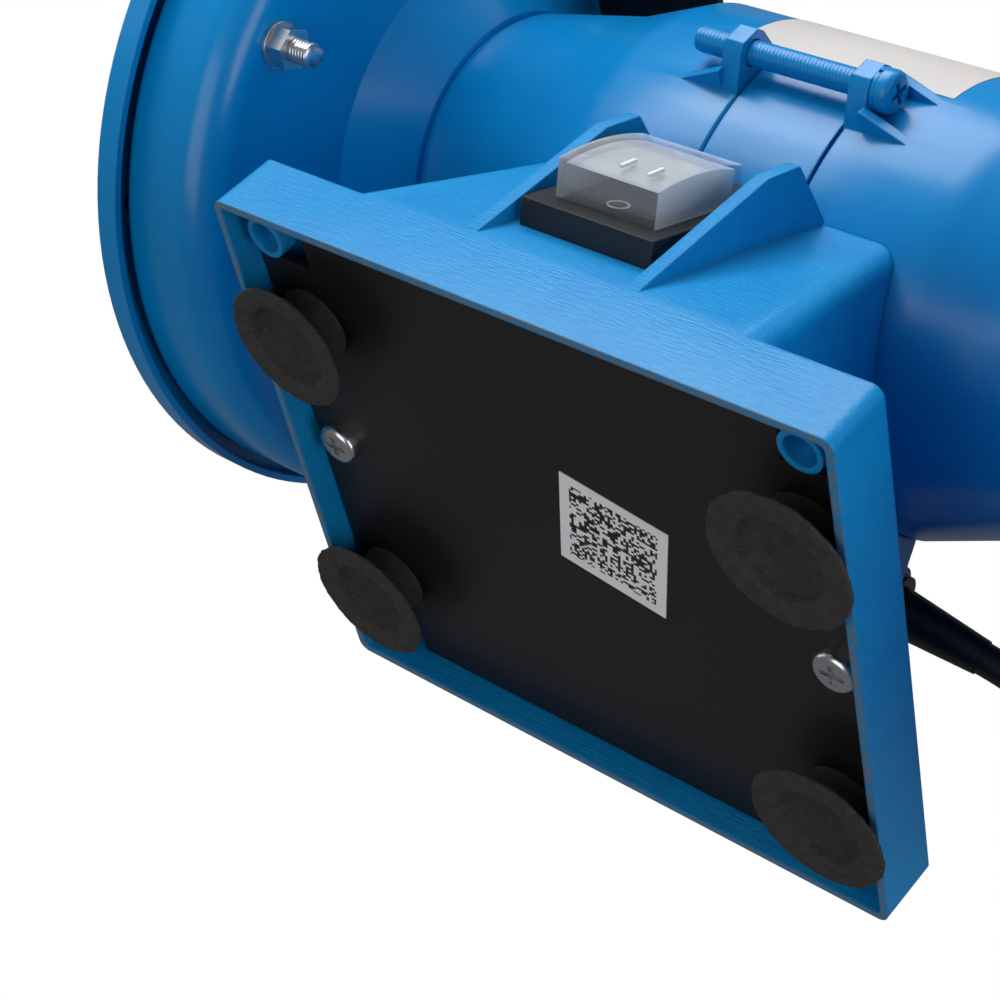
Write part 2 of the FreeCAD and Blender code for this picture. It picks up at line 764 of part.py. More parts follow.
def make_guard():
    guard = guard_shell(0).cut(guard_shell(sheet))
    guard = guard.cut(rod(shaft_hole_r + 2, bell_end - 1, guard_face + 5))
    for angle in ear_angles:
        ear = block(guard_end - ear_len, guard_end, -guard_r + sheet / 2, -ear_pcr + 3.5, -ear_half, ear_half)
        guard = guard.fuse(swing(ear, angle))
    guard = guard.cut(mouth_wedge())
    tab = block(tab_x0, tab_x1, -tab_out_r, -guard_r + sheet / 2, 0, tab_t)
    guard = guard.fuse(swing(tab, mouth_to))
    for i in range(guard_screw_count):
        hole = rod(guard_screw_r + hole_gap, bell_end - 1, bell_end + 4, -guard_screw_pcr)
        guard = guard.cut(swing(hole, 90 + 360 / guard_screw_count * i))
    for angle in ear_angles:
        hole = rod(cover_screw_r + slip_gap, guard_end - ear_len - 1, guard_end + 1, -ear_pcr)
        guard = guard.cut(swing(hole, angle))
    screw_hole = post(deflector_screw_r + slip_gap, -5, 5, deflector_x(), -deflector_screw_y())
    guard = guard.cut(swing(screw_hole, mouth_to))
    guard = guard.cut(rod(rest_bolt_r + slip_gap, guard_face - 1, guard_face + 4, rest_bolt_y, rest_bolt_z))
    for y in bracket_screw_ys():
        guard = guard.cut(rod(2.0 + slip_gap, guard_face - 1, guard_face + 4, y, bracket_screw_z()))
    return guard.removeSplitter()


def make_cover():
    cover = turned([(cover_lip, cover_r), (cover_out - 0.6, cover_r), (cover_out, cover_r - 0.6),
                    (cover_out, dome_foot_r), (dome_out - 1.5, dome_r + 1.5), (dome_out, dome_r),
                    (dome_out, 0), (dome_out - sheet, 0), (dome_out - sheet, dome_r - 0.6),
                    (cover_out - sheet, dome_foot_r - 1.2), (cover_out - sheet, cover_r - sheet),
                    (cover_lip, cover_r - sheet)])
    cover = cover.cut(mouth_wedge(0.5))
    for angle in ear_angles:
        hole = rod(cover_screw_r + hole_gap, cover_out - 5, cover_out + 1, -ear_pcr)
        cover = cover.cut(swing(hole, angle))
    return cover.removeSplitter()


def deflector_x():
    return (tab_x0 + tab_x1) / 2


def deflector_screw_y():
    return (guard_r + tab_out_r) / 2 + 1.0


def bracket_screw_ys():
    return (bracket_y0 + 6.0, bracket_flange_y1 - 6.0)


def bracket_screw_z():
    return bracket_z - bracket_drop + 5.5


keep_pair("wheel_guard", make_guard())
keep_pair("outer_cover", make_cover())

guard_screw = facing(pan_screw(4.4, 3.0, guard_screw_r, 8.0), V(1, 0, 0))
guard_screws = [swing(guard_screw.translated(V(bell_end + sheet, -guard_screw_pcr, 0)),
                      90 + 360 / guard_screw_count * i) for i in range(guard_screw_count)]
keep_both("guard_screws", *guard_screws)
cover_screw = facing(pan_screw(3.9, 2.6, cover_screw_r, cover_out - guard_end + ear_len + 1.5), V(1, 0, 0))
keep_both("cover_screws", *[swing(cover_screw.translated(V(cover_out, -ear_pcr, 0)), angle)
                            for angle in ear_angles])


# ---- tool rests ------------------------------------------------------------------
def make_rest():
    """A bent plate: the table in front of the wheel and a slotted leg inside the guard."""
    y_in = -wheel_r - rest_gap
    y_out = y_in - rest_depth
    table = block(rest_x0, rest_x1, y_out, y_in, -rest_t, 0)
    upright = [e for e in table.Edges
               if abs(e.Vertexes[0].Z - e.Vertexes[1].Z) > 1 and e.Vertexes[0].Y < y_in - 1]
    table = table.makeFillet(3.0, upright)
    x0 = guard_face + sheet + free_gap
    leg_front = rest_bolt_y - rest_in - rest_bolt_r - 5.0
    leg_back = rest_bolt_y + rest_out + rest_bolt_r + 5.0
    leg = prism_x([(leg_front + 3, rest_bolt_z - 8.0), (leg_back - 3, rest_bolt_z - 8.0),
                   (leg_back, rest_bolt_z - 5.0), (leg_back, rest_bolt_z + 8.0),
                   (y_in + 12.0, -rest_web_h - 4.0), (y_in + 12.0, -rest_t / 2), (y_out + 8.0, -rest_t / 2),
                   (y_out + 12.0, -rest_web_h), (y_in - 1.0, -rest_web_h),
                   (leg_front, rest_bolt_z + 8.0), (leg_front, rest_bolt_z - 5.0)], x0, x0 + rest_web_t)
    # the leg keeps clear of the guard's rounded shoulder, also when it is pulled out
    reach = guard_r - guard_corner_r + rest_clear
    shoulder = block(x0 - 1, x0 + 5, y_out, leg_back, rest_bolt_z - 20, -rest_web_h - 1.5)
    leg = leg.cut(shoulder.cut(rod(reach, x0 - 2, x0 + 6, rest_out)))
    corner = block(x0, x0 + rest_web_t, y_in - 0.1, y_in + 12.0, -rest_t, 0)
    slot_r = rest_bolt_r + free_gap
    slot = block(x0 - 1, x0 + 5, rest_bolt_y - rest_in, rest_bolt_y + rest_out,
                 rest_bolt_z - slot_r, rest_bolt_z + slot_r)
    for y in (rest_bolt_y - rest_in, rest_bolt_y + rest_out):
        slot = slot.fuse(rod(slot_r, x0 - 1, x0 + 5, y, rest_bolt_z))
    return table.fuse(leg).fuse(corner).cut(slot).removeSplitter()


keep_pair("tool_rest", make_rest())
rest_head_x = guard_face + sheet + free_gap + rest_web_t + running_gap
rest_bolt = rod(5.0, rest_head_x, rest_head_x + 1.3, rest_bolt_y, rest_bolt_z)
rest_bolt = rest_bolt.fuse(rod(rest_bolt_r, rest_bolt_tail, rest_head_x + 0.5, rest_bolt_y, rest_bolt_z))
keep_both("rest_bolts", rest_bolt.removeSplitter())
washer = rod(rest_washer_r, guard_face - 1.0, guard_face, rest_bolt_y, rest_bolt_z)
washer = washer.cut(rod(rest_bolt_r + slip_gap, 0, 150, rest_bolt_y, rest_bolt_z))
keep_both("rest_washers", washer)
rest_nut = hexagon(rest_nut_af, guard_face - 5.0, guard_face - 1.0, rest_bolt_y, rest_bolt_z)
rest_nut = rest_nut.cut(rod(rest_bolt_r + 0.02, 0, 150, rest_bolt_y, rest_bolt_z))
keep_both("rest_nuts", rest_nut)


# ---- spark deflectors ------------------------------------------------------------
def make_deflector():
    """A flat plate under the mouth's upper edge, slotted so it follows the wheel as it wears."""
    plate = block(deflector_x0, deflector_x1, -deflector_out_r, -deflector_in_r,
                  -running_gap - deflector_t, -running_gap)
    slot_r = deflector_screw_r + free_gap
    y_in = -deflector_screw_y() - deflector_in
    y_out = -deflector_screw_y() + deflector_out
    slot = block(deflector_x() - slot_r, deflector_x() + slot_r, y_in, y_out, -5, 5)
    for y in (y_in, y_out):
        slot = slot.fuse(post(slot_r, -5, 5, deflector_x(), y))
    return swing(plate.cut(slot), mouth_to)


keep_pair("spark_deflector", make_deflector())
deflector_screw = facing(pan_screw(4.0, 2.4, deflector_screw_r, 7.0, 0.8), V(0, 0, -1))
deflector_screw = deflector_screw.translated(V(deflector_x(), -deflector_screw_y(),
                                               -2 * running_gap - deflector_t))
keep_both("deflector_screws", swing(deflector_screw, mouth_to))


# ---- eye shields -----------------------------------------------------------------
def make_bracket():
    """A folded bracket: flange on the guard, shelf over the neck and an ear for the knob."""
    flange = block(guard_face - bracket_t, guard_face, bracket_y0, bracket_flange_y1,
                   bracket_z - bracket_drop, bracket_z)
    shelf = block(bracket_x, guard_face, bracket_y0, bracket_y1, bracket_z, bracket_z + bracket_t)
    ear = block(bracket_x, bracket_x + bracket_t, bracket_y0, pivot_y + 9, bracket_z, pivot_z + 7)
    shape = flange.fuse(shelf).fuse(ear)
    shape = shape.cut(rod(bar_r + slip_gap, bracket_x - 5, bracket_x + 5, pivot_y, pivot_z))
    for y in bracket_screw_ys():
        shape = shape.cut(rod(2.0 + hole_gap, guard_face - 10, guard_face + 2, y, bracket_screw_z()))
    return shape.removeSplitter()


def make_arm():
    """A flat strip from the knob forward, with the bar that carries the pane."""
    x1 = bracket_x - free_gap
    x0 = x1 - arm_t
    length = hypot(bar_y - pivot_y, bar_z - pivot_z)
    strip = block(x0, x1, -length, 0, -arm_half_w, arm_half_w)
    strip = strip.fuse(rod(arm_half_w, x0, x1)).fuse(rod(arm_half_w, x0, x1, -length))
    strip = strip.fuse(rod(bar_r, x0, bar_end, -length))
    strip = strip.cut(rod(bar_r + running_gap, x0 - 1, x1 + 1))
    angle = degrees(atan2(bar_z - pivot_z, pivot_y - bar_y))
    return swing(strip.removeSplitter(), angle).translated(V(0, pivot_y, pivot_z))


def make_shield():
    """A clear pane with a clip tube along its top edge."""
    tube_r = bar_r + running_gap + 2.0
    tube = rod(tube_r, shield_x0, shield_x1)
    pane = block(shield_x0, shield_x1, -tube_r, -tube_r + shield_t, -shield_drop, 0)
    shape = tube.fuse(pane).cut(rod(bar_r + running_gap, shield_x0 - 1, shield_x1 + 1))
    return shape.removeSplitter().translated(V(0, bar_y, bar_z))


def make_knob():
    """A lobed hand knob on the arm, with its stud and the nut inside the bracket."""
    x1 = bracket_x - free_gap - arm_t - free_gap
    knob = rod(knob_r, x1 - 9, x1, pivot_y, pivot_z)
    for i in range(6):
        angle = 2 * pi / 6 * i
        lobe = rod(2.2, x1 - 12, x1 + 1, pivot_y + (knob_r + 1) * cos(angle), pivot_z + (knob_r + 1) * sin(angle))
        knob = knob.cut(lobe)
    stud = rod(bar_r, x1 - 1, bracket_x + bracket_t + 6, pivot_y, pivot_z)
    nut = hexagon(10.0, bracket_x + bracket_t, bracket_x + bracket_t + 4, pivot_y, pivot_z)
    return knob.fuse(stud).fuse(nut).removeSplitter()


keep_pair("shield_bracket", make_bracket())
keep_pair("shield_arm", make_arm())
keep_pair("eye_shield", make_shield())
keep_both("shield_knobs", make_knob())
bracket_screw = facing(pan_screw(3.9, 2.4, 2.0, 6.0), V(-1, 0, 0))
keep_both("shield_bracket_screws", *[bracket_screw.translated(V(guard_face - bracket_t, y, bracket_screw_z()))
                                     for y in bracket_screw_ys()])


# ---- switch ----------------------------------------------------------------------
def make_switch_body():
    body = block(-bezel_w / 2, bezel_w / 2, -bezel_l / 2, bezel_l / 2, 0, bezel_t)
    body = body.fuse(block(-switch_body_w / 2, switch_body_w / 2, -switch_body_l / 2, switch_body_l / 2,
                           -switch_body_h, 0.1))
    well_w = rocker_w / 2 + free_gap
    well_l = rocker_r + free_gap
    body = body.cut(block(-well_w, well_w, rocker_at - well_l, rocker_at + well_l, bezel_t - 9, bezel_t + 1))
    groove = block(-cap_w / 2 - slip_gap, cap_w / 2 + slip_gap, -cap_l / 2 - slip_gap, cap_l / 2 + slip_gap,
                   bezel_t - 0.8, bezel_t + 1)
    groove = groove.cut(block(-cap_w / 2 + cap_wall + slip_gap, cap_w / 2 - cap_wall - slip_gap,
                              -cap_l / 2 + cap_wall + slip_gap, cap_l / 2 - cap_wall - slip_gap,
                              bezel_t - 2, bezel_t + 2))
    body = body.cut(groove.translated(V(0, rocker_at, 0)))
    pins = rod(1.5 + running_gap, -rocker_w / 2 - 1.5, rocker_w / 2 + 1.5, rocker_at, bezel_t - 1.0)
    return body.cut(pins).removeSplitter()


def make_rocker():
    """A dished rocker turned about its pins; its lower end is pressed in, which is off."""
    height = 1.0
    disc = rod(rocker_r, -rocker_w / 2, rocker_w / 2)
    reach = rocker_r * 2
    rise = reach * tan(radians(rocker_tilt))
    keep_in = prism_x([(0, height + 1.0), (-reach, height + 1.0 + rise), (-reach, -5), (reach, -5),
                       (reach, height + 1.0 + rise)], -rocker_w, rocker_w)
    rocker = disc.common(keep_in).fuse(rod(1.5, -rocker_w / 2 - 1.2, rocker_w / 2 + 1.2))
    rocker.rotate(V(0, 0, 0), V(1, 0, 0), rocker_tilt)
    return rocker.translated(V(0, rocker_at, bezel_t - 1.0))


def make_cap():
    """A clear moulded cap pressed into a groove of the bezel."""
    def form(inset, z0, z1, crown):
        half_w = cap_w / 2 - inset
        half_l = cap_l / 2 - inset
        solid = block(-half_w, half_w, -half_l, half_l, z0, z1)
        bulge = (half_l ** 2 + crown ** 2) / (2 * crown)
        return solid.common(rod(bulge, -half_w, half_w, 0, z1 - bulge))
    top = bezel_t + cap_h
    foot = bezel_t - 0.7
    cap = form(0, foot, top, cap_crown).cut(form(cap_wall, foot - 1, top - cap_wall, cap_crown))
    return cap.translated(V(0, rocker_at, 0))


keep("switch_body", slope(make_switch_body()))
keep("switch_rocker", slope(make_rocker()))
keep("switch_cap", slope(make_cap()))
blades = [slope(block(x - 0.4, x + 0.4, y - 3.2, y + 3.2, -switch_body_h - 8, -switch_body_h))
          for x in (-6.0, 6.0) for y in (-8.5, 8.5)]
keep("switch_terminals", *blades)


# ---- inside the base -------------------------------------------------------------
floor_z = plate_top()
block_base = block(-34, -14, base_y - 24, base_y + 6, floor_z, floor_z + 9)
for i in range(4):
    screw_way = post(2.0, floor_z + 3, floor_z + 12, -24, base_y - 20.0 + 7.5 * i)
    block_base = block_base.cut(screw_way)
keep("terminal_block", block_base)
can = Part.makeCylinder(14.0, 44.0, V(16, base_y - 20, floor_z + 14.5), V(0, 1, 0))
can_studs = Part.makeCylinder(4.0, 6.0, V(16, base_y + 24, floor_z + 14.5), V(0, 1, 0))
keep("run_capacitor", can.fuse(can_studs).removeSplitter())


# ---- mains lead ------------------------------------------------------------------
def make_gland():
    """A bush moulded on the lead, with its tapered bend relief."""
    stem = rod(gland_hole_r - slip_gap, -gland_stem, 0)
    flange = rod(gland_flange_r, 0, gland_flange_t)
    taper = turned([(gland_flange_t, 0), (gland_flange_t, relief_r + 0.6),
                    (gland_tip, relief_r - 0.8), (gland_tip, 0)])
    return stem.fuse(flange).fuse(taper).removeSplitter()


gland_tip = gland_flange_t + relief
tip_x = gland_x + gland_tip * cos(radians(gland_turn))
tip_y = gland_y + gland_tip * sin(radians(gland_turn))
free_x = gland_x + (gland_tip + 9.0) * cos(radians(gland_turn))
free_y = gland_y + (gland_tip + 9.0) * sin(radians(gland_turn))
lead_route = [(tip_x, tip_y, gland_z), (free_x, free_y, gland_z), (75, 68.5, 57.3), (84.5, 77.5, 55.6),
              (91.5, 89.5, 52.5), (98.0, 102.5, 47.5), (104.5, 117, 40.5), (111, 132, 32), (117, 147, 22.5),
              (121.6, 161, 13), (124.8, 174.5, 6.8), (126, 183, 4.6)]
plug_y = coil_y + coil_r + lead_d
plug_lead = [(65, plug_y, 4.4), (55, plug_y + 0.2, 4.0), (44, plug_y + 0.3, 5.6), (33, plug_y + 0.3, 8.2),
             (22, plug_y + 0.3, 9.5), (12, plug_y + 0.3, 9.5)]


def bent_tube(points, radius):
    """A tube of straight runs joined by tangent arcs, each arc as large as its runs allow."""
    pts = [V(*p) for p in points]
    edges = []
    here = pts[0]
    radii = []
    for before, at, after in zip(pts, pts[1:], pts[2:]):
        run_in = (at - before).Length
        run_out = (after - at).Length
        way_in = (at - before).normalize()
        way_out = (after - at).normalize()
        half = way_in.getAngle(way_out) / 2
        cut = 0.45 * min(run_in, run_out)
        radii.append(cut / tan(half))
        start = at - way_in * cut
        end = at + way_out * cut
        inward = (way_out - way_in).normalize()
        middle = at + inward * (radii[-1] / cos(half) - radii[-1])
        edges.append(Part.LineSegment(here, start).toShape())
        edges.append(Part.Arc(start, middle, end).toShape())
        here = end
    edges.append(Part.LineSegment(here, pts[-1]).toShape())
    wire = Part.Wire(edges)
    section = Part.Wire(Part.Circle(pts[0], (pts[1] - pts[0]).normalize(), radius).toShape())
    tube = wire.makePipeShell([section], True, False, 2)
    expected = pi * radius ** 2 * wire.Length
    print("lead: length %.1f, radii %s, volume %.1f of %.1f" %
          (wire.Length, [round(r) for r in radii], tube.Volume, expected))
    return tube, wire.Length


def make_coil():
    """Outer shape of the wound turns, tied flat on the bench."""
    half = coil_wide * lead_d / 2
    high = coil_high * lead_d
    bead = lead_r
    outer = post(coil_r + half, 0, high, coil_x, coil_y)
    outer = outer.cut(post(coil_r - half, -1, high + 1, coil_x, coil_y))
    return outer.makeFillet(bead * 0.9, outer.Edges)


def make_plug():
    """A moulded three-pin plug lying on its back; the lead leaves its side."""
    x1 = plug_lead[-1][0]
    body = block(x1 - plug_l, x1, plug_y - plug_w / 2, plug_y + plug_w / 2, 0, plug_h)
    upright = [e for e in body.Edges if abs(e.Vertexes[0].Z - e.Vertexes[1].Z) > plug_h / 2]
    body = body.makeFillet(8.0, upright)
    top = [e for e in body.Edges if min(v.Z for v in e.Vertexes) > plug_h - 0.1]
    return body.makeFillet(2.5, top)


gland = make_gland()
keep("cord_gland", on_gland(gland))
lead_a, length_a = bent_tube(lead_route, lead_r)
lead_b, length_b = bent_tube(plug_lead, lead_r)
keep("mains_lead", lead_a, lead_b)
keep("lead_coil", make_coil())
plug = make_plug()
plug_x = plug_lead[-1][0] - plug_l / 2
pins = [block(plug_x + 6, plug_x + 10, plug_y - 4, plug_y + 4, plug_h, plug_h + 22.5)]
for side in (-1, 1):
    pins.append(block(plug_x - 13, plug_x - 9, plug_y + side * 11.1 - 3.2, plug_y + side * 11.1 + 3.2,
                      plug_h, plug_h + 17.5))
keep("mains_plug", plug)
keep("plug_pins", *pins)
print("lead in the coil: %.0f of %.0f" %
      (2 * pi * coil_r * coil_turns, lead_length - length_a - length_b - gland_tip))

# ---- files -----------------------------------------------------------------------
os.makedirs("parts", exist_ok=True)
for name, shapes in NODES.items():
    shape = shapes[0] if len(shapes) == 1 else Part.makeCompound(shapes)
    if not shape.isValid() or any(abs(s.Volume) < 1e-6 for s in shapes):
        print("check", name)
    shape.exportStep("parts/%s.step" % name)

lead_nodes = ("mains_lead", "lead_coil", "mains_plug", "plug_pins", "cord_gland")
box = FreeCAD.BoundBox()
for name, shapes in NODES.items():
    if name not in lead_nodes:
        for shape in shapes:
            box.add(shape.BoundBox)
print("nodes %d, tool box %s, middle %.2f %.2f" %
      (len(NODES), [round(v, 1) for v in (box.XMin, box.XMax, box.YMin, box.YMax, box.ZMin, box.ZMax)],
       (box.XMin + box.XMax) / 2, (box.YMin + box.YMax) / 2))
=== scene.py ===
from math import cos, pi, radians, sin

import bmesh
import bpy
from mathutils import Matrix, Vector


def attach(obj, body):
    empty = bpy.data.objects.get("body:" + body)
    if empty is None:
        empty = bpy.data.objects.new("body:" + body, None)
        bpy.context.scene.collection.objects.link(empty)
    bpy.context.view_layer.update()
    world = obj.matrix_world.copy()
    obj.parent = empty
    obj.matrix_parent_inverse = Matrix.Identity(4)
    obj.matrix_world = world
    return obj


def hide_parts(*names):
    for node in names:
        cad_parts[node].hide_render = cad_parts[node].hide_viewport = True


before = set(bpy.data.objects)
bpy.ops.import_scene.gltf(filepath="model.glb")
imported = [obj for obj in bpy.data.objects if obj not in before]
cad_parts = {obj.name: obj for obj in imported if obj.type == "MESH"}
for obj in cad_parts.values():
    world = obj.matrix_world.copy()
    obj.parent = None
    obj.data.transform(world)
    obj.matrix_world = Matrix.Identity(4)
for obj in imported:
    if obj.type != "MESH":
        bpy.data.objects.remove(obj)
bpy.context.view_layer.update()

# ---- camera ----------------------------------------------------------------------
# It looks up from the front right, below the feet, with a long lens.
scene = bpy.context.scene
camera = bpy.data.objects.new("camera", bpy.data.cameras.new("camera"))
scene.collection.objects.link(camera)
right = Vector((0.7525457, 0.1837262, 0.6323920))
down = Vector((0.3422129, 0.7113501, -0.6138985))
ahead = Vector((-0.5626413, 0.6783994, 0.4724500))
turn = Matrix((right, -down, -ahead)).transposed().to_4x4()
camera.matrix_world = Matrix.Translation((0.2270, -0.2836, -0.1960)) @ turn
camera.data.sensor_width = 36
camera.data.lens = 82.22
camera.data.clip_start = 0.02
camera.data.clip_end = 20
scene.camera = camera
scene.view_settings.view_transform = "Standard"


# ---- mains lead ------------------------------------------------------------------
# A black rubber lead leaves an angled gland behind the pedestal, falls to the bench
# behind the right wheel and is wound into a tied coil there, with its plug beside it.
def linear(code):
    """A colour written RRGGBB, as the light values that shaders take."""
    out = []
    for i in (0, 2, 4):
        c = int(code[i:i + 2], 16) / 255
        out.append(c / 12.92 if c <= 0.04045 else ((c + 0.055) / 1.055) ** 2.4)
    return (*out, 1.0)


def add(tree, kind, values=None, **settings):
    """Adds one shader node; a value that is a socket is linked, any other is set."""
    node = tree.nodes.new("ShaderNode" + kind)
    for key, value in settings.items():
        setattr(node, key, value)
    for key, value in (values or {}).items():
        if isinstance(value, bpy.types.NodeSocket):
            tree.links.new(value, node.inputs[key])
        else:
            node.inputs[key].default_value = value
    return node


def grain(tree, place, size, low=0.0, high=1.0, stretch=(1, 1, 1)):
    """A pattern of patches about size millimetres across, from 0 to 1 between low and high."""
    scaled = add(tree, "Mapping", {"Vector": place, "Scale": [1000 / size / k for k in stretch]})
    noise = add(tree, "TexNoise", {"Vector": scaled.outputs[0], "Scale": 1.0, "Detail": 3.0})
    span = add(tree, "MapRange", {"Value": noise.outputs["Fac"], "From Min": low, "From Max": high})
    return span.outputs[0]


def surface(name, colour, rough, edge=0.0, bumps=(), spots=(), **extra):
    """A finish.  edge rounds corners in the light, in mm; bumps are (size, height, stretch)
    and spots (size, low, high, amount, colour), all sizes in mm."""
    made = bpy.data.materials.new(name)
    made.use_nodes = True
    tree = made.node_tree
    tree.nodes.clear()
    place = add(tree, "TexCoord").outputs["Object"]
    shade = linear(colour)
    for size, low, high, amount, other in spots:
        patches = grain(tree, place, size, low, high)
        part = add(tree, "Math", {0: patches, 1: amount}, operation="MULTIPLY").outputs[0]
        shade = add(tree, "Mix", {0: part, 6: shade, 7: linear(other)}, data_type="RGBA").outputs[2]
    values = {"Base Color": shade, "Roughness": rough, **extra}
    if edge:
        values["Normal"] = add(tree, "Bevel", {"Radius": edge / 1000}, samples=4).outputs[0]
    for size, height, stretch in bumps:
        relief = grain(tree, place, size, stretch=stretch)
        bump = add(tree, "Bump", {"Height": relief, "Distance": height / 1000})
        if "Normal" in values:
            tree.links.new(values["Normal"], bump.inputs["Normal"])
        values["Normal"] = bump.outputs[0]
    finish = add(tree, "BsdfPrincipled", values)
    add(tree, "OutputMaterial", {"Surface": finish.outputs[0]})
    return made


def dress(material, *names):
    """Gives CAD nodes their finish, and smooth light over their curved faces."""
    for name in names:
        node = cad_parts[name]
        node.data.materials.clear()
        node.data.materials.append(material)
        node.data.polygons.foreach_set("use_smooth", [True] * len(node.data.polygons))
        weld = node.modifiers.new("weld", "WELD")
        weld.merge_threshold = 2e-6
        split = node.modifiers.new("sharp edges", "EDGE_SPLIT")
        split.split_angle = radians(32)


even = (1, 1, 1)
cord_rubber = surface("black cord rubber", "0C0C0D", 0.42, bumps=((0.6, 0.01, even),))
cord_d = 0.0068
gland_tip = (0.05567, 0.06182, 0.058)
route = [gland_tip, (0.0645, 0.0634, 0.058), (0.075, 0.0685, 0.0573), (0.0845, 0.0775, 0.0556),
         (0.0915, 0.0895, 0.0525), (0.098, 0.1025, 0.0475), (0.1045, 0.117, 0.0405), (0.111, 0.132, 0.032),
         (0.117, 0.147, 0.0225), (0.1216, 0.161, 0.013), (0.1248, 0.1745, 0.0068), (0.1262, 0.186, 0.0040)]
coil_x = 0.080
coil_y = 0.198
outer_turn = 0.0463
middle_turn = outer_turn - cord_d
per_turn = 16
shift_points = 3
# each turn ends by shifting one slot inwards, upwards or outwards
ring, layer = 0.0, 0.0
for step_in, step_up in ((1, 0), (1, 0), (0, 1), (-1, 0), (-1, 0)):
    for i in range(per_turn):
        part = max(0.0, (i - per_turn + shift_points) / shift_points)
        radius = outer_turn - (ring + step_in * part) * cord_d
        height = cord_d / 2 + (layer + step_up * part) * cord_d
        angle = 2 * pi * i / per_turn
        route.append((coil_x + radius * cos(angle), coil_y + radius * sin(angle), height))
    ring += step_in
    layer += step_up
for angle in (0.0, 22.5, 45.0, 67.5, 88.0):
    across = outer_turn * cos(radians(angle))
    along = outer_turn * sin(radians(angle))
    route.append((coil_x + across, coil_y + along, 1.5 * cord_d))
far = coil_y + outer_turn
route += [(0.066, far, 0.0095), (0.055, far + 0.0002, 0.0065), (0.044, far + 0.0003, 0.0052),
          (0.033, far + 0.0003, 0.0076), (0.022, far + 0.0003, 0.0095), (0.012, far + 0.0003, 0.0095)]
line = bpy.data.curves.new("mains_lead_curve", "CURVE")
line.dimensions = "3D"
line.bevel_depth = cord_d / 2
line.bevel_resolution = 5
line.use_fill_caps = True
line.resolution_u = 6
spline = line.splines.new("NURBS")
spline.points.add(len(route) - 1)
for point, place in zip(spline.points, route):
    point.co = (*place, 1.0)
spline.order_u = 3
spline.use_endpoint_u = True
line.materials.append(cord_rubber)
lead = bpy.data.objects.new("mains_lead_curve", line)
scene.collection.objects.link(lead)
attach(lead, "frame")
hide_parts("mains_lead", "lead_coil")
dress(cord_rubber, "cord_gland")
ties = bmesh.new()
tie_middle = 0.0072
tie_shape = Matrix.Diagonal((0.0222, 0.0048, 0.0143, 1))
for x, y, way in ((coil_x, coil_y - middle_turn, 90), (coil_x - middle_turn, coil_y, 0)):
    turn = Matrix.Rotation(radians(way), 4, "Z")
    bmesh.ops.create_cube(ties, size=1.0, matrix=Matrix.Translation((x, y, tie_middle)) @ turn @ tie_shape)
bmesh.ops.bevel(ties, geom=ties.edges, offset=0.0006, segments=2, affect="EDGES")
mesh = bpy.data.meshes.new("coil_ties")
ties.to_mesh(mesh)
ties.free()
mesh.materials.append(cord_rubber)
straps = bpy.data.objects.new("coil_ties", mesh)
scene.collection.objects.link(straps)
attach(straps, "frame")
dress(surface("moulded plug", "131314", 0.45, edge=0.6, bumps=((0.3, 0.01, even),)), "mains_plug")
brass = surface("plated brass", "C9A95A", 0.3, edge=0.3, Metallic=1.0)
dress(brass, "plug_pins")


# ---- studio ----------------------------------------------------------------------
# White all round, a large soft box above the front and weaker ones round it, for a cut-out
# look.  Only the camera sees the full white; the light that falls from it is weak.
world = bpy.data.worlds.new("white studio")
scene.world = world
world.use_nodes = True
tree = world.node_tree
tree.nodes.clear()
lit = add(tree, "Background", {"Color": (1, 1, 1, 1), "Strength": 0.16})
seen = add(tree, "Background", {"Color": (1, 1, 1, 1), "Strength": 1.0})
path = add(tree, "LightPath")
mixed = add(tree, "MixShader", {0: path.outputs["Is Camera Ray"], 1: lit.outputs[0], 2: seen.outputs[0]})
add(tree, "OutputWorld", {"Surface": mixed.outputs[0]})
middle = Vector((0.0, 0.0, 0.08))
for name, way, distance, size, watts in (
        ("key", (-0.30, -0.80, 0.45), 0.95, 0.70, 9.0),
        ("side strip", (-0.60, -0.80, 0.05), 1.0, 0.40, 2.5),
        ("top strip", (0.25, -0.60, 0.80), 0.9, 0.45, 1.2),
        ("left fill", (-1.0, -0.25, -0.15), 1.1, 0.8, 1.6),
        ("right fill", (1.0, -0.10, -0.05), 1.2, 0.9, 7.0),
        ("under fill", (0.10, -0.45, -0.90), 1.3, 0.9, 4.5)):
    lamp = bpy.data.lights.new(name, "AREA")
    lamp.shape = "SQUARE"
    lamp.size = size
    lamp.energy = watts
    spot = bpy.data.objects.new(name, lamp)
    scene.collection.objects.link(spot)
    way = Vector(way).normalized()
    facing = way.to_track_quat("Z", "Y").to_matrix().to_4x4()
    spot.matrix_world = Matrix.Translation(middle + way * distance) @ facing


# ---- base ------------------------------------------------------------------------
# A cast tray and pedestal in blue paint, ground along its rim, with a black steel
# bottom plate, four worn suction cups and a plain stuck-on square label.
base_y = 0.0141
cast_paint = surface("cast blue paint", "0084C4", 0.38, edge=0.7, **{"Specular IOR Level": 0.32},
                     bumps=((0.4, 0.14, (9, 1, 1)), (4.0, 0.08, even)),
                     spots=((0.6, 0.5, 0.75, 0.35, "2E97DA"), (9, 0.45, 0.7, 0.3, "0072BE")))
tree = cast_paint.node_tree
paint = next(n for n in tree.nodes if n.type == "BSDF_PRINCIPLED")
place = add(tree, "TexCoord").outputs["Object"]
high = add(tree, "SeparateXYZ", {0: place}).outputs["Z"]
lip = add(tree, "MapRange", {"Value": high, "From Min": 0.0031, "From Max": 0.0034,
                             "To Min": 0.75, "To Max": 0.0}).outputs[0]
worn = add(tree, "Math", {0: lip, 1: grain(tree, place, 1.2, 0.35, 0.6)}, operation="MULTIPLY").outputs[0]
blue = paint.inputs["Base Color"].links[0].from_socket
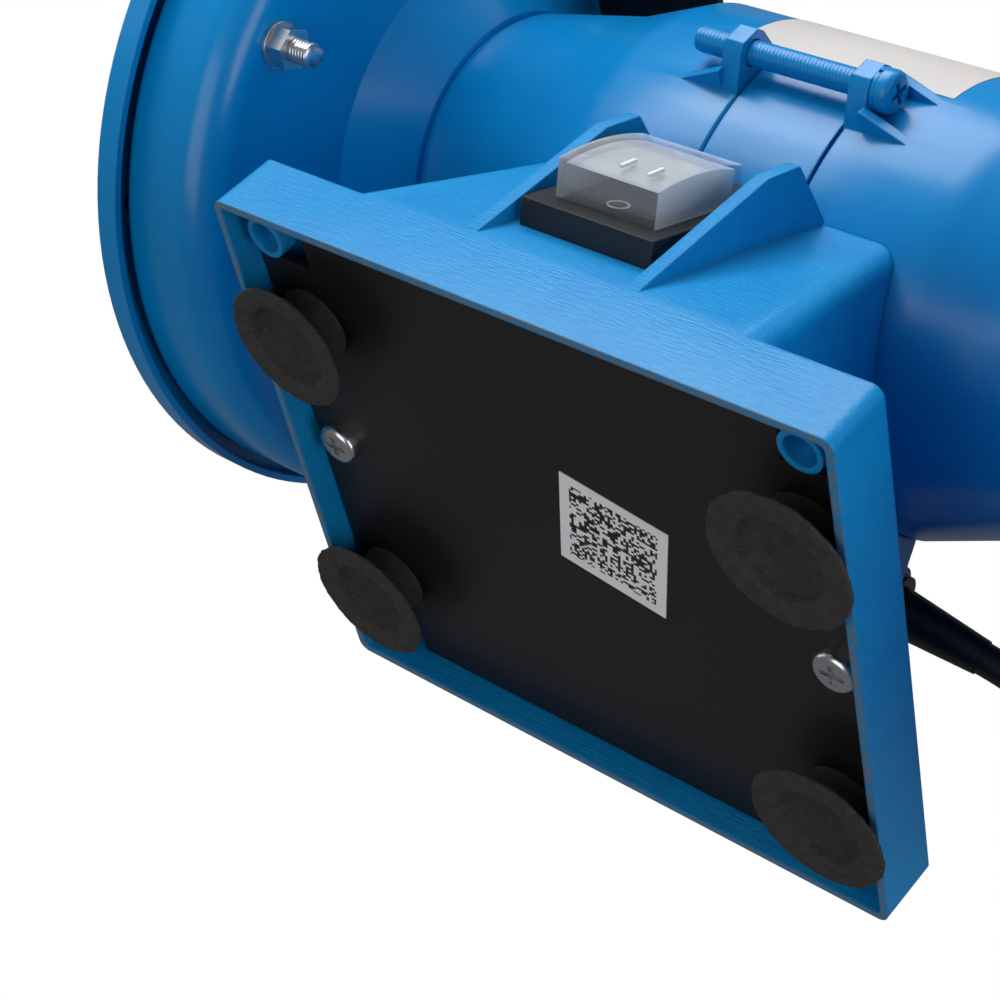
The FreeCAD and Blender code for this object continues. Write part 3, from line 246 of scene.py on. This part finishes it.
mixed = add(tree, "Mix", {0: worn, 6: blue, 7: linear("6C7479")}, data_type="RGBA").outputs[2]
tree.links.new(mixed, paint.inputs["Base Color"])
dress(cast_paint, "base_casting")
plate_paint = surface("black plate paint", "141214", 0.42, edge=0.3, **{"Specular IOR Level": 0.4},
                      bumps=((0.4, 0.012, even), (25, 0.15, even)),
                      spots=((0.5, 0.70, 0.74, 0.5, "5A585A"), (30, 0.4, 0.7, 0.4, "1B191B")))
dress(plate_paint, "bottom_plate")
zinc = surface("bright zinc", "CDD0D4", 0.24, edge=0.25, Metallic=1.0, bumps=((1.0, 0.008, even),))
dress(zinc, "bottom_plate_screws", "motor_base_screws")


def lathe(outline, steps):
    """Turns an outline of (radius, height) points in mm about Z; ends on the axis close it."""
    shape = bmesh.new()
    verts = [shape.verts.new((r / 1000, 0, z / 1000)) for r, z in outline]
    edges = [shape.edges.new(pair) for pair in zip(verts, verts[1:])]
    bmesh.ops.spin(shape, geom=verts + edges, cent=(0, 0, 0), axis=(0, 0, 1), angle=2 * pi, steps=steps,
                   use_merge=True)
    bmesh.ops.remove_doubles(shape, verts=shape.verts, dist=1e-6)
    bmesh.ops.recalc_face_normals(shape, faces=shape.faces)
    return shape


def place_piece(shape, name, body, material, slot, *replaced, smooth=35):
    """Makes a mesh piece of a bmesh that already stands in its place."""
    mesh = bpy.data.meshes.new(name)
    shape.to_mesh(mesh)
    shape.free()
    mesh.materials.append(material)
    mesh.polygons.foreach_set("use_smooth", [True] * len(mesh.polygons))
    piece = bpy.data.objects.new(name, mesh)
    scene.collection.objects.link(piece)
    split = piece.modifiers.new("sharp edges", "EDGE_SPLIT")
    split.split_angle = radians(smooth)
    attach(piece, body)
    if replaced:
        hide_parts(*replaced)


cup_rubber = surface("worn black rubber", "2A2829", 0.8, bumps=((0.5, 0.12, even), (2.0, 0.12, even)),
                     spots=((0.35, 0.62, 0.68, 0.5, "6A6768"), (2.5, 0.4, 0.65, 0.5, "3C393B")))
cup_outline = ((0, 3.2), (4.0, 3.2), (8.0, 2.7), (8.6, 2.0), (8.95, 0.7), (9.3, 0.3), (10.4, 0.14),
               (12.6, 0.05), (13.7, 0.04), (14.25, 0.2), (14.35, 0.6), (14.1, 1.0), (12.5, 1.45),
               (10.6, 1.9), (9.2, 2.7), (8.3, 3.9), (7.8, 5.2), (7.6, 7.0), (7.9, 8.69), (3.0, 8.69),
               (3.0, 10.2), (4.4, 10.2), (2.4, 12.6), (0, 12.6))
recess_edge = 8.4
lip_from = 12
lip_top = 0.002
cups = bmesh.new()
for x, y, scale in ((-56.7, -32.2, 0.945), (56.7, -32.2, 1.0), (-56.7, 38.0, 1.0), (56.7, 38.0, 1.01)):
    cup = lathe(cup_outline, 96)
    for vert in cup.verts:
        radius = vert.co.xy.length * 1000
        angle = vert.co.xy.angle_signed(Vector((1, 0)), 0.0)
        if radius > recess_edge and vert.co.z < lip_top:
            ragged = 0.10 * sin(9 * angle + x) + 0.09 * sin(23 * angle + y) + 0.08 * sin(41 * angle + 2 * x)
            reach = 1 + ragged * (radius - recess_edge) / 6 / radius
            vert.co.x *= reach * (scale if radius > lip_from else 1)
            vert.co.y *= reach * (scale if radius > lip_from else 1)
    bmesh.ops.translate(cup, verts=cup.verts, vec=(x / 1000, base_y + y / 1000, 0))
    mesh = bpy.data.meshes.new("cup")
    cup.to_mesh(mesh)
    cups.from_mesh(mesh)
    cup.free()
    bpy.data.meshes.remove(mesh)
place_piece(cups, "suction_cups", "frame", cup_rubber, "black_rubber", "suction_feet", smooth=50)

# the square label: white film with a plain field of dark cells that spell nothing
film = surface("printed film", "F4F3F8", 0.45)
tree = film.node_tree
face = next(n for n in tree.nodes if n.type == "BSDF_PRINCIPLED")
place = add(tree, "TexCoord").outputs["Object"]
label_place = (0.0111, base_y - 0.0056, 0)
label_turn = (0, 0, radians(10.8))
local = add(tree, "Mapping", {"Vector": place, "Location": label_place, "Rotation": label_turn},
            vector_type="TEXTURE").outputs[0]
printed_half = 0.0100
cell = 0.0006
snapped = add(tree, "VectorMath", {0: local, 1: (cell, cell, 1.0)}, operation="SNAP").outputs[0]
white = add(tree, "TexWhiteNoise", {"Vector": snapped}, noise_dimensions="2D").outputs["Value"]
dark = add(tree, "Math", {0: white, 1: 0.5}, operation="GREATER_THAN").outputs[0]
for axis in ("X", "Y"):
    along = add(tree, "SeparateXYZ", {0: local}).outputs[axis]
    size = add(tree, "Math", {0: along}, operation="ABSOLUTE").outputs[0]
    inside = add(tree, "Math", {0: size, 1: printed_half}, operation="LESS_THAN").outputs[0]
    dark = add(tree, "Math", {0: dark, 1: inside}, operation="MULTIPLY").outputs[0]
inked = add(tree, "Mix", {0: dark, 6: linear("F4F3F8"), 7: linear("121114")}, data_type="RGBA").outputs[2]
tree.links.new(inked, face.inputs["Base Color"])
dress(film, "base_sticker")


# ---- motor -----------------------------------------------------------------------
# Two turned end bells and a band in gloss blue, held by painted screws through lugs.
spindle_y = 0.0116
spindle_z = 0.0972
motor_paint = surface("gloss blue paint", "0483C6", 0.26, edge=0.5, **{"Specular IOR Level": 0.4},
                      bumps=((2.0, 0.02, even), (12, 0.10, even)),
                      spots=((14, 0.42, 0.7, 0.3, "0074C0"),))
dress(motor_paint, "motor_band", "left_end_bell", "right_end_bell", "clamp_screws", "clamp_washers")
dress(surface("rating label foil", "C9C6C4", 0.4, bumps=((10, 0.05, even),)), "rating_label")
core = surface("core laminations", "6F7377", 0.45, edge=0.2, Metallic=0.8)
dress(core, "stator_core", "rotor_core")
copper = surface("enamelled copper", "B0622D", 0.35, bumps=((1.0, 0.1, even),), Metallic=0.6)
dress(copper, "stator_windings")


def thread(radius, depth, pitch, length):
    """A screw thread standing on the X axis from x = 0, all in mm."""
    shape = bmesh.new()
    verts = [shape.verts.new((x * pitch / 1000, 0, r / 1000)) for x, r in
             ((0, radius - depth), (0.35, radius), (0.6, radius), (1.0, radius - depth))]
    edges = [shape.edges.new(pair) for pair in zip(verts, verts[1:])]
    turns = int(length / pitch)
    facets = 20
    bmesh.ops.spin(shape, geom=verts + edges, cent=(0, 0, 0), axis=(1, 0, 0),
                   dvec=(pitch / 1000 / facets, 0, 0), angle=2 * pi * turns, steps=facets * turns)
    bmesh.ops.remove_doubles(shape, verts=shape.verts, dist=1e-6)
    bmesh.ops.holes_fill(shape, edges=[e for e in shape.edges if e.is_boundary])
    bmesh.ops.recalc_face_normals(shape, faces=shape.faces)
    return shape


def join(shapes):
    """Puts several bmeshes into one, and frees them."""
    whole = bmesh.new()
    for shape in shapes:
        mesh = bpy.data.meshes.new("part")
        shape.to_mesh(mesh)
        whole.from_mesh(mesh)
        shape.free()
        bpy.data.meshes.remove(mesh)
    return whole


clamp_side = 0.04993
clamp_below = 0.00262
crests = []
for side in (-1, 1):
    for start, length in ((-24.6, 8.0), (-12.2, 24.4)):
        crest = thread(2.62, 0.35, 0.8, length)
        bmesh.ops.translate(crest, verts=crest.verts,
                            vec=(start / 1000, spindle_y + side * clamp_side, spindle_z - clamp_below))
        crests.append(crest)
place_piece(join(crests), "clamp_screw_threads", "frame", motor_paint, "blue_paint", smooth=60)


# ---- spindle and wheels ----------------------------------------------------------
# A ground shaft on two ball bearings, with a coarse wheel on the left and a fine one on
# the right, each between paper blotters and zinc-plated flanges.
ground = surface("ground steel", "C2C4C8", 0.3, edge=0.3, Metallic=1.0)
dress(ground, "spindle_shaft", "bearing_outer_rings", "bearing_inner_rings", "bearing_balls",
      "bearing_wave_washer")
dress(zinc, "inner_flanges", "outer_flanges", "spindle_nuts")
coarse = surface("coarse grit", "4E4F54", 0.9, bumps=((0.8, 0.3, even),),
                 spots=((0.8, 0.45, 0.6, 0.8, "8E8F94"),))
fine = surface("fine grit", "7B7D83", 0.9, bumps=((0.5, 0.2, even),),
               spots=((0.5, 0.45, 0.6, 0.8, "A9AAAE"),))
dress(coarse, "left_grinding_wheel")
dress(fine, "right_grinding_wheel")
dress(surface("blotter paper", "C8B58C", 0.9), "wheel_blotters")


# ---- guards ----------------------------------------------------------------------
# Pressed blue guards and covers round both wheels, with zinc-plated rests and fixings,
# black spark deflectors, and clear eye shields on arms with black knobs.
guard_paint = surface("guard blue paint", "0086CC", 0.24, edge=0.5, **{"Specular IOR Level": 0.4},
                      bumps=((3.0, 0.02, even), (25, 0.2, even)))
dress(guard_paint, "left_wheel_guard", "right_wheel_guard", "left_outer_cover", "right_outer_cover")
dress(zinc, "guard_screws", "cover_screws", "rest_bolts", "rest_washers", "rest_nuts", "deflector_screws",
      "shield_bracket_screws", "left_tool_rest", "right_tool_rest", "left_shield_arm", "right_shield_arm")
rest_forward = 0.0562
rest_below = 0.0473
crests = []
for start in (-92.4, 87.5):
    crest = thread(2.6, 0.35, 0.8, 5.0)
    bmesh.ops.translate(crest, verts=crest.verts,
                        vec=(start / 1000, spindle_y - rest_forward, spindle_z - rest_below))
    crests.append(crest)
place_piece(join(crests), "rest_bolt_threads", "frame", zinc, "zinc_steel", smooth=60)
black_paint = surface("black sheet paint", "161618", 0.4, edge=0.3)
dress(black_paint, "left_spark_deflector", "right_spark_deflector", "left_shield_bracket",
      "right_shield_bracket")


def clear_plastic(name, tint, cloud):
    """Thin clear plastic: seen through, with a white sheen that grows towards the edge."""
    made = bpy.data.materials.new(name)
    made.use_nodes = True
    tree = made.node_tree
    tree.nodes.clear()
    through = add(tree, "BsdfTransparent", {"Color": linear(tint)})
    shine = add(tree, "BsdfAnisotropic", {"Color": (1, 1, 1, 1), "Roughness": 0.08})
    haze = add(tree, "BsdfDiffuse", {"Color": (0.9, 0.93, 0.96, 1)})
    milky = add(tree, "MixShader", {0: 0.35, 1: shine.outputs[0], 2: haze.outputs[0]})
    rim = add(tree, "Fresnel", {"IOR": 1.5})
    part = add(tree, "MapRange", {"Value": rim.outputs[0], "From Min": 0.04, "From Max": 0.8,
                                  "To Min": cloud, "To Max": 0.95})
    mixed = add(tree, "MixShader", {0: part.outputs[0], 1: through.outputs[0], 2: milky.outputs[0]})
    add(tree, "OutputMaterial", {"Surface": mixed.outputs[0]})
    return made


dress(clear_plastic("clear polycarbonate", "F2F6F8", 0.03), "left_eye_shield", "right_eye_shield")
black_plastic = surface("black nylon", "131315", 0.42, edge=0.4, bumps=((0.3, 0.01, even),))
dress(black_plastic, "shield_knobs", "switch_body")


# ---- switch ----------------------------------------------------------------------
# A two-pole rocker under a clear moulded cap; a ring and a bar mark off and on.
dress(surface("rocker plastic", "19191B", 0.35, edge=0.4), "switch_rocker")
dress(clear_plastic("clear cap", "EEF1F4", 0.08), "switch_cap")
dress(brass, "switch_terminals")
dress(surface("cream nylon", "D8D2BE", 0.5), "terminal_block")
dress(surface("grey can", "8A8C8E", 0.4), "run_capacitor")
# the slope's own frame: x across, y up the slope from its foot, z outwards
slope = Matrix.Translation((0, base_y - 0.06175, 0.0172)) @ Matrix.Rotation(radians(66.73), 4, "X")
mark_white = surface("white mark", "D8D8DA", 0.5)
ring_mark = lathe(((1.75, 0), (1.75, 0.12), (2.15, 0.12), (2.15, 0), (1.75, 0)), 48)
bmesh.ops.transform(ring_mark, verts=ring_mark.verts,
                    matrix=slope @ Matrix.Translation((0.0006, 0.0189, 0.0063)))
place_piece(ring_mark, "off_mark", "rocker", mark_white, "white_label")
bar_mark = bmesh.new()
bar_place = Matrix.Translation((0, 0.0345, 0.0082)) @ Matrix.Rotation(radians(16), 4, "X")
bar_shape = Matrix.Diagonal((0.0005, 0.0042, 0.0002, 1))
bmesh.ops.create_cube(bar_mark, size=1.0, matrix=slope @ bar_place @ bar_shape)
place_piece(bar_mark, "on_mark", "rocker", mark_white, "white_label")
dashes = bmesh.new()
for x in (-0.1, 6.0):
    grip_place = Matrix.Translation((x / 1000, 0.0214, 0.01325)) @ Matrix.Rotation(radians(4), 4, "X")
    grip_shape = Matrix.Diagonal((0.0007, 0.0042, 0.0006, 1))
    bmesh.ops.create_cube(dashes, size=1.0, matrix=slope @ grip_place @ grip_shape)
place_piece(dashes, "cap_grips", "frame", mark_white, "white_label")
